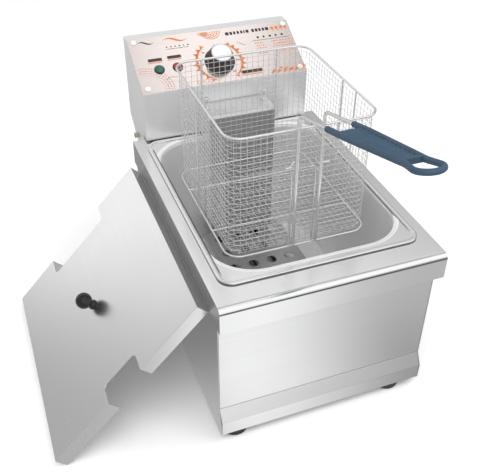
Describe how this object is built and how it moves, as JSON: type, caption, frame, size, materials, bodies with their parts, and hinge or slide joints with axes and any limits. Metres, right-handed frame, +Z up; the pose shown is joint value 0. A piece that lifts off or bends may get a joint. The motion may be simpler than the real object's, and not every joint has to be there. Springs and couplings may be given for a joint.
{
  "type": "deep fryer",
  "caption": "Countertop deep fryer with drawn steel tank, tilting control head with heating elements, wire basket and leaning flanged lid.",
  "frame": {"origin": "centre of the bounding box in plan, on the table surface under the feet", "axes": "+Z up, the front faces -Y, +X to the right seen from the front"},
  "size_m": [0.4736, 0.6056, 0.4397],
  "materials": {
    "steel_bright": "bright satin stainless sheet",
    "steel_satin": "satin stainless sheet",
    "zinc": "zinc plated",
    "rubber_black": "matt",
    "brass": "knurled",
    "printed_plate": "printed, satin",
    "white_plastic": "gloss",
    "black_plastic": "gloss",
    "green_lens": "clear, gloss",
    "red_lens": "clear, gloss",
    "dark_metal": "plain",
    "ceramic_like": "glazed",
    "element_steel": "heat tinted",
    "copper": "copper",
    "knob_face": "spun",
    "wire_chrome": "polished wire",
    "wire_mesh": "woven wire",
    "blue_plastic": "moulded, satin",
    "black_gloss": "gloss"
  },
  "bodies": {
    "base": {"worktop": "steel_bright", "tank": "steel_bright", "body_wrap": "steel_satin", "front_panel": "steel_bright", "front_plinth": "steel_bright", "base_plate": "steel_satin", "feet": "rubber_black", "foot_screws": "zinc", "hinge_brackets": "steel_satin", "bracket_screws": "zinc", "pivot_screws": "brass"},
    "head": {"head_shell": "steel_satin", "head_back_cover": "steel_satin", "head_seal": "rubber_black", "control_plate": "printed_plate", "panel_screws": "white_plastic", "lamp_bezels": "black_plastic", "lamp_green": "green_lens", "lamp_red": "red_lens", "thermostat": "dark_metal", "terminal_block": "ceramic_like", "cable_gland": "black_plastic", "tower": "steel_bright", "hang_posts": "steel_bright", "heating_element": "element_steel", "guard_plate": "steel_bright", "sensor_bulb": "copper"},
    "knob": {"knob": "black_plastic", "knob_cap": "knob_face"},
    "basket": {"basket_rim": "wire_chrome", "basket_base_frame": "wire_chrome", "basket_ribs": "wire_chrome", "basket_mesh": "wire_mesh", "handle_wire": "wire_chrome", "handle_clips": "wire_chrome", "grip": "blue_plastic"},
    "lid": {"lid_panel": "steel_bright", "lid_knob": "black_gloss", "lid_knob_screw": "zinc"}
  },
  "joints": [
    {"name": "head_tilt", "type": "hinge", "parent": "base", "child": "head", "pos_m": [0.09685, 0.2403, 0.209], "axis": [-1, 0, 0], "range_deg": [0, 80]},
    {"name": "knob_turn", "type": "hinge", "parent": "head", "child": "knob", "pos_m": [0.09585, 0.22136, 0.31394], "axis": [0, 0.4848, -0.8746], "range_deg": [0, 285]},
    {"name": "basket_lift", "type": "slide", "parent": "head", "child": "basket", "axis": [0, 0, 1], "range_m": [-0.119, 0.15]},
    {"name": "lid_lift", "type": "slide", "parent": "base", "child": "lid", "axis": [0, 0, 1], "range_m": [0, 0.36]}
  ]
}
